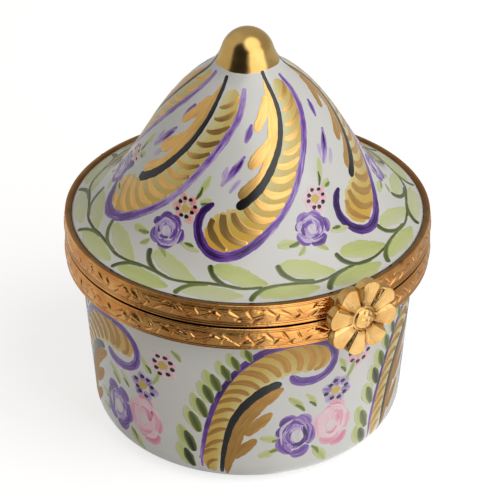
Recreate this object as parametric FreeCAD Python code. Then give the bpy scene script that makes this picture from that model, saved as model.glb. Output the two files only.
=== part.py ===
import FreeCAD
import Part
import math
import os

# A round porcelain keepsake box with a tent-shaped hinged lid, in millimetres.
# +Z is up and the origin is the centre of the foot, on the table.
# The hinge is at the back, +Y, and the flower clasp at the front, -Y.

# Seam and the two metal bezels
SEAM_HEIGHT = 28.9          # table to the line where the two bezels meet
SEAM_GAP = 0.3              # opening between the bezels when the box is shut
BEZEL_RADIUS = 25.5         # crown of the engraved field, the widest ring of the box
BEZEL_HEIGHT = 3.3          # one bezel, from its seam face to its far edge
BEZEL_WALL = 0.7            # metal behind the grooves of the field
FLANGE_THICKNESS = 0.8      # flat ring that carries the porcelain edge
FIELD_PROUD = 0.25          # rise of the field over the grooves beside it
SEAM_BEAD_WIDTH = 0.65      # plain bead along the seam
SEAM_BEAD_PROUD = 0.2
EDGE_BEAD_WIDTH = 0.45      # fine bead along the far edge
EDGE_BEAD_PROUD = 0.14
LIP_THICKNESS = 0.5         # far edge, turned in to the porcelain
LIP_CLEARANCE = 0.05        # between the turned lip and the porcelain
LOWER_CEMENT = 0.95         # cement between cup and lower bezel, at the cup's lip
UPPER_CEMENT = 0.2          # cement between lid and upper bezel

# Porcelain cup
CUP_TAPER = 2.3             # the foot is this much narrower in radius than the lip
CUP_WALL = 2.6
CUP_FLOOR = 3.0
CUP_CORNER = 4.4            # round edge under the cup
CUP_INNER_CORNER = 3.0
FOOT_RING_WIDTH = 3.0       # flat ring that the box stands on
FOOT_RECESS = 0.4           # hollow inside the foot ring

# Porcelain lid, from its top down
LID_HEIGHT = 31.4           # seam to the top of the finial
LID_WALL = 2.6
FINIAL_RADIUS = 3.65        # round knob
FINIAL_SIDE = 0.67          # straight stretch under the knob's round top
FINIAL_SLOPE = 71.5         # degrees below level at the knob's side
NECK_RADIUS = 6.6           # hollow curve between knob and tent
NECK_SLOPE = 36.5           # degrees below level where the tent starts
BRIM_SLOPE = 18.1           # degrees below level at the rim
BRIM_SET_DOWN = 0.15        # the rim lies this much below the bezel's edge
UPPER_FLANK_SHARE = 0.38    # pull of each end of the tent's curve, of its chord
LOWER_FLANK_SHARE = 0.311

# Hinge
KNUCKLE_RADIUS = 1.05
KNUCKLE_COUNT = 5           # odd, the outer two on the base
KNUCKLE_GAP = 0.12          # between neighbouring knuckles
HINGE_LENGTH = 14.0
HINGE_STANDOFF = 0.25       # between knuckles and the crown of the bezels
PIN_RADIUS = 0.5
PIN_CLEARANCE = 0.05        # radial play of the pin in the knuckles
PIN_HEAD_RADIUS = 0.8
PIN_HEAD_HEIGHT = 0.35
LANDING_PROUD = 0.12        # flat landing before the knuckles, out from the crown of the bezels
LANDING_RISE = 1.9          # far edge of a landing from the seam face
FINGER_RISE = 0.75          # fingers between landing and knuckles, from the seam face
STOP_ANGLE = 102.0          # degrees of opening at which the lugs meet the lower landing
LUG_DEPTH = 0.6             # thickness of a lug behind the face that meets the landing
LUG_HIGH = 0.6              # upper end of a lug below the hinge axis, lid at the stop
LUG_LOW = 1.6               # lower end of a lug below the hinge axis, lid at the stop

# Flower clasp
CLASP_STANDOFF = 1.1        # back of the flower, from the crown of the bezels
CLASP_RISE = 0.3            # middle of the flower above the seam
PETAL_COUNT = 8
FLOWER_TWIST = 11.0         # degrees that the first petal leans from straight up
FLOWER_RADIUS = 5.5
PETAL_NOTCH = 1.0           # depth of the notch between two petal ends
PETAL_RIM = 1.15            # thickness at the outer end of a petal
PETAL_CREST = 1.6           # thickness at the highest ring of the petals
CREST_INSET = 0.7           # crest of the petals, in from their ends
FLOWER_SEAT = 1.2           # thickness under the rivet's head
GROOVE_WIDTH = 1.0          # vee groove between two petals
GROOVE_DEPTH = 0.6
RIVET_RADIUS = 2.0
RIVET_DOME = 0.8
RIVET_SHANK = 0.55
SEAT_MARGIN = 0.1           # flat ring of the flower round the rivet's head
BRACKET_WIDTH = 7.2
BRACKET_HEIGHT = 1.9
BRACKET_RISE = 1.4          # bracket above the seam face, clear of the tongue
BRACKET_EASE = 0.5          # round of the bracket's front edges
TONGUE_WIDTH = 3.4
TONGUE_THICKNESS = 0.5
TONGUE_HEAD = 0.95          # tongue above the middle of the flower
TONGUE_DROP = 1.1           # prongs below the middle of the stud
STUD_RADIUS = 0.6
STUD_DROP = 2.0             # middle of the stud below the seam
STUD_CLEARANCE = 0.15       # each side of the stud in the fork
STUD_END_GAP = 0.2          # end of the stud to the flower
STUD_EASE = 0.15

CUT_OVERRUN = 1.0           # every cut runs this far past what it cuts
FULL_TURN = 360.0

# Sizes that follow from those above
GROOVE_RADIUS = BEZEL_RADIUS - FIELD_PROUD
CHANNEL_RADIUS = GROOVE_RADIUS - BEZEL_WALL
CUP_LIP_RADIUS = CHANNEL_RADIUS - LOWER_CEMENT
CUP_FOOT_RADIUS = CUP_LIP_RADIUS - CUP_TAPER
BRIM_RADIUS = CHANNEL_RADIUS - UPPER_CEMENT
MOUTH_RADIUS = CUP_LIP_RADIUS - CUP_WALL
CUP_TOP = SEAM_HEIGHT - SEAM_GAP / 2 - FLANGE_THICKNESS
LID_BOTTOM = SEAM_HEIGHT + SEAM_GAP / 2 + FLANGE_THICKNESS
UPPER_EDGE = SEAM_HEIGHT + SEAM_GAP / 2 + BEZEL_HEIGHT
LOWER_EDGE = SEAM_HEIGHT - SEAM_GAP / 2 - BEZEL_HEIGHT
HINGE_Y = BEZEL_RADIUS + HINGE_STANDOFF + KNUCKLE_RADIUS
KNUCKLE_LENGTH = (HINGE_LENGTH - (KNUCKLE_COUNT - 1) * KNUCKLE_GAP) / KNUCKLE_COUNT
LANDING_Y = BEZEL_RADIUS + LANDING_PROUD
CLASP_BACK = BEZEL_RADIUS + CLASP_STANDOFF
FLOWER_HEIGHT = SEAM_HEIGHT + CLASP_RISE
STUD_HEIGHT = SEAM_HEIGHT - STUD_DROP

Vector = FreeCAD.Vector
ORIGIN = Vector(0, 0, 0)
UP = Vector(0, 0, 1)
RIGHT = Vector(1, 0, 0)
FRONT = Vector(0, -1, 0)


def at(radius, height):
    """Point of a profile, which lies in the XZ plane."""
    return Vector(radius, 0, height)


def line(start, end):
    return Part.LineSegment(start, end).toShape()


def arc(start, middle, end):
    return Part.Arc(start, middle, end).toShape()


def chain(points):
    """Straight edges from each point to the next."""
    return [line(start, end) for start, end in zip(points, points[1:])]


def revolve(edges):
    """Solid of revolution about Z of a closed profile."""
    return Part.Face(Part.Wire(edges)).revolve(ORIGIN, UP, FULL_TURN)


def box(low, high):
    """Box between two corners."""
    size = high - low
    return Part.makeBox(size.x, size.y, size.z, low)


def rounded(corners):
    """Closed profile through corners, each a radius, a height and the round at that corner."""
    count = len(corners)
    points = [at(radius, height) for radius, height, _ in corners]
    turns = []
    for index, (_, _, fillet) in enumerate(corners):
        here = points[index]
        before = (points[index - 1] - here).normalize()
        after = (points[(index + 1) % count] - here).normalize()
        half = before.getAngle(after) / 2
        reach = fillet / math.tan(half)
        middle = here + (before + after).normalize() * (fillet / math.sin(half) - fillet)
        turns.append((here + before * reach, middle, here + after * reach))
    edges = []
    for index, (start, middle, end) in enumerate(turns):
        if corners[index][2]:
            edges.append(arc(start, middle, end))
        edges.append(line(end, turns[(index + 1) % count][0]))
    return edges


def cap(radius, height):
    """Spherical cap that stands on the XY plane."""
    sphere = (radius * radius + height * height) / (2 * height)
    half = math.asin(radius / sphere) / 2
    middle = at(sphere * math.sin(half), sphere * math.cos(half) - sphere + height)
    edges = [arc(at(radius, 0), middle, at(0, height))]
    return revolve(edges + chain([at(0, height), ORIGIN, at(radius, 0)]))


def placed(shape, base, direction):
    """Shape moved to a base point, with its Z turned to a direction."""
    turned = shape.copy()
    turned.Placement = FreeCAD.Placement(base, FreeCAD.Rotation(UP, direction))
    return turned


def cup_radius(height):
    """Outer radius of the cup's straight wall at a height."""
    return CUP_FOOT_RADIUS + CUP_TAPER * height / CUP_TOP


def base_cup():
    """Cup with a rounded lower edge, a foot ring and an even wall."""
    ring = CUP_FOOT_RADIUS - CUP_CORNER - FOOT_RING_WIDTH
    return revolve(rounded([
        (0, FOOT_RECESS, 0),
        (ring, FOOT_RECESS, 0),
        (ring, 0, 0),
        (CUP_FOOT_RADIUS, 0, CUP_CORNER),
        (CUP_LIP_RADIUS, CUP_TOP, 0),
        (MOUTH_RADIUS, CUP_TOP, 0),
        (cup_radius(CUP_FLOOR) - CUP_WALL, CUP_FLOOR, CUP_INNER_CORNER),
        (0, CUP_FLOOR, 0),
    ]))


def bezel_height(side, rise):
    """Height of a place on a bezel, given its rise from the seam face; side is 1 above, -1 below."""
    return SEAM_HEIGHT + side * (SEAM_GAP / 2 + rise)


def bezel_face(side):
    """Outer contour of a bezel from seam to far edge: a bead, the crowned field and a fine bead."""
    stops = [0, SEAM_BEAD_WIDTH, BEZEL_HEIGHT - EDGE_BEAD_WIDTH, BEZEL_HEIGHT]
    prouds = [SEAM_BEAD_PROUD, FIELD_PROUD, EDGE_BEAD_PROUD]
    edges = []
    for low, high, proud in zip(stops, stops[1:], prouds):
        start = at(GROOVE_RADIUS, bezel_height(side, low))
        middle = at(GROOVE_RADIUS + proud, bezel_height(side, (low + high) / 2))
        edges.append(arc(start, middle, at(GROOVE_RADIUS, bezel_height(side, high))))
    return edges


def bezel(side, lip_radius):
    """Bezel ring: outer wall, lip turned in to the porcelain, and flange with a round nose."""
    def here(radius, rise):
        return at(radius, bezel_height(side, rise))
    nose = FLANGE_THICKNESS / 2
    inside = chain([
        here(GROOVE_RADIUS, BEZEL_HEIGHT),
        here(lip_radius, BEZEL_HEIGHT),
        here(lip_radius, BEZEL_HEIGHT - LIP_THICKNESS),
        here(CHANNEL_RADIUS, BEZEL_HEIGHT - LIP_THICKNESS),
        here(CHANNEL_RADIUS, FLANGE_THICKNESS),
        here(MOUTH_RADIUS + nose, FLANGE_THICKNESS),
    ])
    inside.append(arc(
        here(MOUTH_RADIUS + nose, FLANGE_THICKNESS),
        here(MOUTH_RADIUS, nose),
        here(MOUTH_RADIUS + nose, 0)))
    inside.append(line(here(MOUTH_RADIUS + nose, 0), here(GROOVE_RADIUS, 0)))
    return revolve(bezel_face(side) + inside)


def bezel_core(side):
    """Everything inside a bezel's outer face, to fit soldered pieces to that face."""
    return revolve(bezel_face(side) + chain([
        at(GROOVE_RADIUS, bezel_height(side, BEZEL_HEIGHT)),
        at(0, bezel_height(side, BEZEL_HEIGHT)),
        at(0, bezel_height(side, 0)),
        at(GROOVE_RADIUS, bezel_height(side, 0)),
    ]))


def lower_lip_radius():
    """Inner radius of the lower lip, clear of the cup at the widest place behind it."""
    return cup_radius(LOWER_EDGE + LIP_THICKNESS) + LIP_CLEARANCE


def lower_cement():
    """Cement between the cup's sloping wall and the lower bezel's channel."""
    low = LOWER_EDGE + LIP_THICKNESS
    corners = [at(cup_radius(low), low), at(CHANNEL_RADIUS, low)]
    corners += [at(CHANNEL_RADIUS, CUP_TOP), at(CUP_LIP_RADIUS, CUP_TOP)]
    return revolve(chain(corners + corners[:1]))


def upper_cement():
    """Cement between the lid's rim and the upper bezel's channel."""
    high = UPPER_EDGE - LIP_THICKNESS
    corners = [at(BRIM_RADIUS, LID_BOTTOM), at(CHANNEL_RADIUS, LID_BOTTOM)]
    corners += [at(CHANNEL_RADIUS, high), at(BRIM_RADIUS, high)]
    return revolve(chain(corners + corners[:1]))


def slope_line(slope):
    """Unit step that runs outward and down at a slope in degrees."""
    return at(math.cos(math.radians(slope)), -math.sin(math.radians(slope)))


def slope_normal(slope):
    """Unit step square to that slope, outward and up."""
    return at(math.sin(math.radians(slope)), math.cos(math.radians(slope)))


def tent_curve(start, end):
    """The tent's double curve from neck to rim."""
    chord = (end - start).Length
    curve = Part.BezierCurve()
    curve.setPoles([
        start,
        start + slope_line(NECK_SLOPE) * (chord * UPPER_FLANK_SHARE),
        end - slope_line(BRIM_SLOPE) * (chord * LOWER_FLANK_SHARE),
        end,
    ])
    return curve.toShape()


def lid_shell():
    """Tent with a solid knob, hollow below the neck, open at the mouth."""
    top = at(0, SEAM_HEIGHT + LID_HEIGHT)
    knob = top - UP * FINIAL_RADIUS
    knob_end = knob + slope_normal(FINIAL_SLOPE) * FINIAL_RADIUS
    neck = knob_end + slope_line(FINIAL_SLOPE) * FINIAL_SIDE
    neck_middle = neck + (slope_normal(FINIAL_SLOPE)
                          - slope_normal((FINIAL_SLOPE + NECK_SLOPE) / 2)) * NECK_RADIUS
    tent = neck + (slope_normal(FINIAL_SLOPE) - slope_normal(NECK_SLOPE)) * NECK_RADIUS
    rim = at(BRIM_RADIUS, UPPER_EDGE - BRIM_SET_DOWN)
    outside = revolve([
        arc(top, knob + slope_normal(FINIAL_SLOPE / 2) * FINIAL_RADIUS, knob_end),
        line(knob_end, neck),
        arc(neck, neck_middle, tent),
        tent_curve(tent, rim),
    ] + chain([rim, at(BRIM_RADIUS, LID_BOTTOM), at(0, LID_BOTTOM), top]))

    hollow = tent - slope_normal(NECK_SLOPE) * LID_WALL
    hollow_rim = rim - slope_normal(BRIM_SLOPE) * LID_WALL
    vault = hollow.x / math.sin(math.radians(NECK_SLOPE))
    vault_centre = hollow - slope_normal(NECK_SLOPE) * vault
    vault_top = vault_centre + UP * vault
    below = LID_BOTTOM - LID_WALL
    inside = revolve([
        arc(vault_top, vault_centre + slope_normal(NECK_SLOPE / 2) * vault, hollow),
        tent_curve(hollow, hollow_rim),
    ] + chain([hollow_rim, at(hollow_rim.x, below), at(0, below), vault_top]))
    mouth = Part.makeCylinder(MOUTH_RADIUS, top.z, ORIGIN)
    return outside.cut(inside.common(mouth))


def knuckle_start(index):
    """X of the left end of a knuckle."""
    return index * (KNUCKLE_LENGTH + KNUCKLE_GAP) - HINGE_LENGTH / 2


def hinge_rod(radius, start, length):
    """Cylinder on the hinge axis."""
    return Part.makeCylinder(radius, length, Vector(start, HINGE_Y, SEAM_HEIGHT), RIGHT)


def hinge_bore():
    """Hole for the pin through every knuckle."""
    return hinge_rod(PIN_RADIUS + PIN_CLEARANCE, -HINGE_LENGTH / 2 - CUT_OVERRUN,
                     HINGE_LENGTH + 2 * CUT_OVERRUN)


def base_knuckles(indices):
    """Bored tubes of the base's leaf of the hinge."""
    tubes = [hinge_rod(KNUCKLE_RADIUS, knuckle_start(i), KNUCKLE_LENGTH) for i in indices]
    return Part.makeCompound([tube.cut(hinge_bore()) for tube in tubes])


def stop_lug(index):
    """Lug of a lid knuckle, drawn flat on the lower landing and turned back to the closed lid."""
    start = knuckle_start(index)
    lug = box(Vector(start, LANDING_Y, SEAM_HEIGHT - LUG_LOW),
              Vector(start + KNUCKLE_LENGTH, LANDING_Y + LUG_DEPTH, SEAM_HEIGHT - LUG_HIGH))
    lug.rotate(Vector(0, HINGE_Y, SEAM_HEIGHT), RIGHT, STOP_ANGLE)
    return lug


def lid_knuckles(indices):
    """Bored tubes of the lid's leaf of the hinge, each with the lug that stops the lid."""
    tubes = [hinge_rod(KNUCKLE_RADIUS, knuckle_start(i), KNUCKLE_LENGTH).fuse(stop_lug(i)) for i in indices]
    return Part.makeCompound([tube.cut(hinge_bore()).removeSplitter() for tube in tubes])


def hinge_pin():
    """Pin with a peened round head on each end knuckle."""
    rod = hinge_rod(PIN_RADIUS, -HINGE_LENGTH / 2, HINGE_LENGTH)
    head = cap(PIN_HEAD_RADIUS, PIN_HEAD_HEIGHT)
    right_end = Vector(HINGE_LENGTH / 2, HINGE_Y, SEAM_HEIGHT)
    left_end = Vector(-HINGE_LENGTH / 2, HINGE_Y, SEAM_HEIGHT)
    return rod.fuse([placed(head, right_end, RIGHT), placed(head, left_end, -RIGHT)])


def hinge_bearer(side, indices):
    """Flat landing soldered to the bezel, with a finger to each knuckle of its own leaf."""
    inner = math.sqrt(GROOVE_RADIUS ** 2 - (HINGE_LENGTH / 2) ** 2) - CUT_OVERRUN
    root = bezel_height(side, 0)
    edge = bezel_height(side, LANDING_RISE)
    tip = bezel_height(side, FINGER_RISE)
    bearer = box(Vector(-HINGE_LENGTH / 2, inner, min(root, edge)),
                 Vector(HINGE_LENGTH / 2, LANDING_Y, max(root, edge)))
    for index in indices:
        start = knuckle_start(index)
        finger = box(Vector(start, inner, min(root, tip)),
                     Vector(start + KNUCKLE_LENGTH, HINGE_Y, max(root, tip)))
        bearer = bearer.fuse(finger.cut(hinge_rod(KNUCKLE_RADIUS, start, KNUCKLE_LENGTH)))
    return bearer.cut(bezel_core(side)).removeSplitter()


def clasp_place(shape):
    """Flower drawn flat with its face up, stood up at the front of the box."""
    stood = shape.copy()
    stood.rotate(ORIGIN, RIGHT, FULL_TURN / 4)
    stood.translate(Vector(0, -CLASP_BACK, FLOWER_HEIGHT))
    return stood


def petal_point(radius, angle):
    """Point of the flower's outline; the angle, in degrees, runs from straight up."""
    turn = math.radians(angle)
    return Vector(radius * math.sin(turn), radius * math.cos(turn), 0)


def flower_outline():
    """Ring of round petal ends that meet in notches."""
    pitch = FULL_TURN / PETAL_COUNT
    notch = FLOWER_RADIUS - PETAL_NOTCH
    edges = []
    for index in range(PETAL_COUNT):
        angle = FLOWER_TWIST + index * pitch
        edges.append(arc(petal_point(notch, angle - pitch / 2),
                         petal_point(FLOWER_RADIUS, angle),
                         petal_point(notch, angle + pitch / 2)))
    return Part.Face(Part.Wire(edges))


def flower_crown():
    """Turned blank: a flat seat, petals that rise to a crest and round off at their ends."""
    seat = RIVET_RADIUS + SEAT_MARGIN
    crest = FLOWER_RADIUS - CREST_INSET
    rise = at((seat + crest) / 2, (FLOWER_SEAT + PETAL_CREST) / 2 - (PETAL_CREST - FLOWER_SEAT) / 4)
    drop = PETAL_CREST - PETAL_RIM
    shoulder = at(crest + CREST_INSET * math.sin(math.pi / 4),
                  PETAL_CREST - drop + drop * math.cos(math.pi / 4))
    edges = chain([ORIGIN, at(FLOWER_RADIUS, 0), at(FLOWER_RADIUS, PETAL_RIM)])
    edges.append(arc(at(FLOWER_RADIUS, PETAL_RIM), shoulder, at(crest, PETAL_CREST)))
    edges.append(arc(at(crest, PETAL_CREST), rise, at(seat, FLOWER_SEAT)))
    return revolve(edges + chain([at(seat, FLOWER_SEAT), at(0, FLOWER_SEAT), ORIGIN]))


def clasp_flower():
    """Rosette of petals with vee grooves between them and a hole for the rivet."""
    pitch = FULL_TURN / PETAL_COUNT
    flower = flower_outline().extrude(UP * PETAL_CREST).common(flower_crown())
    top = PETAL_CREST + CUT_OVERRUN
    half_width = GROOVE_WIDTH / 2 * (GROOVE_DEPTH + CUT_OVERRUN) / GROOVE_DEPTH
    vee = [Vector(0, 0, PETAL_CREST - GROOVE_DEPTH), Vector(half_width, 0, top), Vector(-half_width, 0, top)]
    wedge = Part.Face(Part.makePolygon(vee + vee[:1])).extrude(Vector(0, FLOWER_RADIUS, 0))
    seat = Part.makeCylinder(RIVET_RADIUS + SEAT_MARGIN, top, ORIGIN)
    wedge = wedge.cut(seat)
    for index in range(PETAL_COUNT):
        groove = wedge.copy()
        groove.rotate(ORIGIN, UP, -FLOWER_TWIST - (index + 1 / 2) * pitch)
        flower = flower.cut(groove)
    return clasp_place(flower.cut(Part.makeCylinder(RIVET_SHANK, top, ORIGIN)))


def clasp_rivet():
    """Domed head on the flower and a shank that ends flush with the back of the tongue."""
    head = cap(RIVET_RADIUS, RIVET_DOME)
    head.translate(UP * FLOWER_SEAT)
    shank = Part.makeCylinder(RIVET_SHANK, FLOWER_SEAT + TONGUE_THICKNESS, UP * -TONGUE_THICKNESS)
    return clasp_place(head.fuse(shank))


def clasp_bracket():
    """Block that carries the flower on the upper bezel."""
    half = BRACKET_WIDTH / 2
    inner = math.sqrt(GROOVE_RADIUS ** 2 - half ** 2) - CUT_OVERRUN
    low = bezel_height(1, BRACKET_RISE)
    block = box(Vector(-half, -CLASP_BACK, low), Vector(half, -inner, low + BRACKET_HEIGHT))
    front = [edge for edge in block.Edges if edge.BoundBox.YMax < BRACKET_EASE - CLASP_BACK]
    rims = [edge for edge in front if edge.BoundBox.ZMax > low + BRACKET_EASE]
    return block.makeFillet(BRACKET_EASE, rims).cut(bezel_core(1))


def clasp_tongue():
    """Strip riveted behind the flower, with a fork open below that straddles the stud."""
    half = TONGUE_WIDTH / 2
    slot = STUD_RADIUS + STUD_CLEARANCE
    front = -CLASP_BACK
    back = front + TONGUE_THICKNESS
    foot = STUD_HEIGHT - TONGUE_DROP
    strip = box(Vector(-half, front, foot), Vector(half, back, FLOWER_HEIGHT + TONGUE_HEAD))
    start = front - CUT_OVERRUN
    through = TONGUE_THICKNESS + 2 * CUT_OVERRUN
    fork = Part.makeCylinder(slot, through, Vector(0, start, STUD_HEIGHT), -FRONT)
    mouth = box(Vector(-slot, start, foot - CUT_OVERRUN), Vector(slot, start + through, STUD_HEIGHT))
    hole = Part.makeCylinder(RIVET_SHANK, through, Vector(0, start, FLOWER_HEIGHT), -FRONT)
    return strip.cut(fork.fuse(mouth)).cut(hole)


def catch_stud():
    """Round stud soldered to the front of the lower bezel."""
    inner = GROOVE_RADIUS - CUT_OVERRUN
    reach = CLASP_BACK - STUD_END_GAP - inner
    stud = Part.makeCylinder(STUD_RADIUS, reach, Vector(0, -inner, STUD_HEIGHT), FRONT)
    tip = [edge for edge in stud.Edges if edge.Closed and edge.CenterOfMass.y < -inner - reach / 2]
    return stud.makeFillet(STUD_EASE, tip).cut(bezel_core(-1))


def build():
    """Every piece by its node name."""
    base_indices = range(0, KNUCKLE_COUNT, 2)
    lid_indices = range(1, KNUCKLE_COUNT, 2)
    return {
        "base_cup": base_cup(),
        "lower_bezel": bezel(-1, lower_lip_radius()),
        "lower_cement": lower_cement(),
        "base_hinge_bearer": hinge_bearer(-1, base_indices),
        "base_knuckles": base_knuckles(base_indices),
        "hinge_pin": hinge_pin(),
        "catch_stud": catch_stud(),
        "lid_shell": lid_shell(),
        "upper_bezel": bezel(1, BRIM_RADIUS + LIP_CLEARANCE),
        "upper_cement": upper_cement(),
        "lid_hinge_bearer": hinge_bearer(1, lid_indices),
        "lid_knuckles": lid_knuckles(lid_indices),
        "clasp_bracket": clasp_bracket(),
        "clasp_flower": clasp_flower(),
        "clasp_rivet": clasp_rivet(),
        "clasp_tongue": clasp_tongue(),
    }


os.makedirs("parts", exist_ok=True)
for name, shape in build().items():
    shape.exportStep(f"parts/{name}.step")
    print(name, len(shape.Solids), round(shape.Volume, 3), shape.isValid())
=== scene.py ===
# %% [markdown]
# # A tent-shaped porcelain box
# The box is a painted porcelain cup and a lid like a round tent, each held in an engraved gilt
# bezel, with a hinge behind and a flower clasp in front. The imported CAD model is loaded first.
# It fixes every size and every moving body, so the looks below are built around it in metres.

# %% Load the frame
import bmesh
import bpy
import numpy as np
from mathutils import Matrix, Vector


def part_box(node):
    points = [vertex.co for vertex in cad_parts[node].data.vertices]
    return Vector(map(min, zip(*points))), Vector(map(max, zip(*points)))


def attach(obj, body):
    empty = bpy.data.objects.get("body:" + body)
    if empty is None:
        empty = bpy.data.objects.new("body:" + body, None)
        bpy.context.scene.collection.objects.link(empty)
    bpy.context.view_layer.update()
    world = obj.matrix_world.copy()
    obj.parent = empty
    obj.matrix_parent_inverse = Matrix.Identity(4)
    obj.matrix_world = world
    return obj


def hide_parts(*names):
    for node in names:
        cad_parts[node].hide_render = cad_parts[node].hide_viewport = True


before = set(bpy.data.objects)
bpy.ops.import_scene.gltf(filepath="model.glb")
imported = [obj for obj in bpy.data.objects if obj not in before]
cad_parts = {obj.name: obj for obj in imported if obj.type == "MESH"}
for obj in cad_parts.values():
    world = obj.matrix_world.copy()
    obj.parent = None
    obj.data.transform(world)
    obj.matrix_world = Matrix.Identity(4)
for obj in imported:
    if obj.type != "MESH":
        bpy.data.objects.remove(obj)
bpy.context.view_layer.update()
MM = 0.001

# %% [markdown]
# ## Where the camera stands
# The photograph looks down at the box from its front left through a long lens. Angles round the
# box are counted from the clasp, so a place on the porcelain keeps its number in every view.

# %% Camera
VIEW_ANGLE = -33.6
VIEW_RISE = 32.16
VIEW_DISTANCE = 450
LENS = 231.7
SIDE_SHIFT = 0.005
AIM = np.array([0, 0, 25.26])


def direction(angle, rise):
    """Unit step away from the box: angle in degrees from the clasp (-Y) towards +X, rise from level."""
    turn, lift = np.radians(angle), np.radians(rise)
    return np.array([np.sin(turn) * np.cos(lift), -np.cos(turn) * np.cos(lift), np.sin(lift)])


def look_at(thing, place, target):
    """Stands a camera or lamp at a place in mm, with its view along the line to the target."""
    back = (place - target) / np.linalg.norm(place - target)
    right = np.cross([0, 0, 1], back)
    right /= np.linalg.norm(right)
    turn = np.eye(4)
    turn[:3] = np.stack([right, np.cross(back, right), back, place * MM], axis=1)
    thing.matrix_world = Matrix(turn.tolist())


def added(name, data):
    """New object for a mesh, camera or lamp, linked into the scene."""
    made = bpy.data.objects.new(name, data)
    bpy.context.collection.objects.link(made)
    return made


camera = added("camera", bpy.data.cameras.new("camera"))
camera.data.lens = LENS
camera.data.shift_x = SIDE_SHIFT
camera.data.clip_start = 0.01
camera.data.clip_end = 20
look_at(camera, AIM + VIEW_DISTANCE * direction(VIEW_ANGLE, VIEW_RISE), AIM)
bpy.context.scene.camera = camera
print("camera stands", VIEW_DISTANCE, "mm away,", VIEW_RISE, "degrees up")

# %% [markdown]
# ## Shader maths as Python sums
# Every finish here is a small graph of nodes. Wiring them by hand is slow to read, so one class
# wraps a socket: a sum on it adds a Math node, and one method adds any other node.


# %% Shader maths
class Wire:
    """A value inside a material: one socket that Python operators can work with."""

    def __init__(self, tree, socket=None):
        self.tree = tree
        self.socket = socket

    def node(self, kind, sockets=None, out=0, **settings):
        """Adds a node of a kind, its settings first, then the values or links of its sockets."""
        made = self.tree.nodes.new("ShaderNode" + kind)
        for key, value in settings.items():
            if key == "stops":
                ramp = made.color_ramp.elements
                ramp.remove(ramp[1])
                ramp[0].position, ramp[0].color = value[0]
                for place, colour in value[1:]:
                    ramp.new(place).color = colour
            else:
                setattr(made, key, value)
        for key, value in (sockets or {}).items():
            if isinstance(value, Wire):
                self.tree.links.new(value.socket, made.inputs[key])
            else:
                made.inputs[key].default_value = value
        return Wire(self.tree, made.outputs[out] if made.outputs else None)

    def sum(self, operation, *values):
        return self.node("Math", dict(enumerate(values)), operation=operation)

    def __add__(self, other):
        return self.sum("ADD", self, other)

    def __sub__(self, other):
        return self.sum("SUBTRACT", self, other)

    def __rsub__(self, other):
        return self.sum("SUBTRACT", other, self)

    def __mul__(self, other):
        return self.sum("MULTIPLY", self, other)

    __radd__ = __add__
    __rmul__ = __mul__

    def eased(self, low, high):
        """0 below low, 1 above high and a smooth step between."""
        return self.node("MapRange", {"Value": self, "From Min": low, "From Max": high},
                         interpolation_type="SMOOTHSTEP")

    def mix(self, start, end):
        """Colour that goes from start, where this value is 0, to end, where it is 1."""
        return self.node("Mix", {0: self, 6: start, 7: end}, 2, data_type="RGBA")

    def ramp(self, *stops):
        """Colour of this value on a ramp of stops, each a place and a colour."""
        return self.node("ValToRGB", {"Fac": self}, stops=stops)

    def place(self):
        return self.node("TexCoord", out="Object")

    def mark(self, name, out="Fac"):
        """Value that the mesh keeps at its points under a name."""
        return self.node("Attribute", out=out, attribute_name=name)

    def noise(self, scale, detail=2.0, vector=None):
        """Soft noise from 0 to 1, with scale spots to the metre."""
        return self.node("TexNoise", {
            "Vector": vector or self.place(), "Scale": scale, "Detail": detail})

    def bump(self, height, strength, depth):
        """Normal of a surface raised by height times a depth in metres."""
        return self.node("Bump", {
            "Height": height, "Strength": strength, "Distance": depth})


def tint(red, green, blue):
    """Display colour, each part from 0 to 255, as the linear colour that shaders work in."""
    share = np.array([red, green, blue]) / 255
    linear = np.where(share < 0.04045, share / 12.92, ((share + 0.055) / 1.055) ** 2.4)
    return (*linear.tolist(), 1.0)


def bare_tree(owner):
    """Empties the nodes of a material or a world and gives a bare Wire to build them with."""
    owner.use_nodes = True
    owner.node_tree.nodes.clear()
    return Wire(owner.node_tree)


def finish(name, recipe, *options):
    """Material whose Principled sockets come from a recipe, a function of a bare Wire and options."""
    made = bpy.data.materials.new(name)
    wire = bare_tree(made)
    wire.node("OutputMaterial", {"Surface": wire.node("BsdfPrincipled", recipe(wire, *options))})
    return made


print("shader maths ready")

# %% [markdown]
# ## From a grid of points to a piece
# Porcelain is thrown, bezels are turned and a brush stroke is drawn along, so every piece here is
# a profile carried along something. A grid of points holds each one, and one function turns
# grids into a closed mesh: it joins neighbours, welds the points where a row shrinks to a pole,
# and turns the faces outwards.

# %% Grids to meshes
WELD = 2e-8


def grid_faces(shape, first, closed_rows):
    """Corner numbers of the quads of stacked grids; columns close on themselves, rows if asked."""
    index = first + np.arange(np.prod(shape)).reshape(shape)
    here, below = (index, np.roll(index, -1, 1)) if closed_rows else (index[:, :-1], index[:, 1:])
    corners = [here, np.roll(here, -1, 2), np.roll(below, -1, 2), below]
    return np.stack(corners, -1).reshape(-1, 4)


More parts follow.
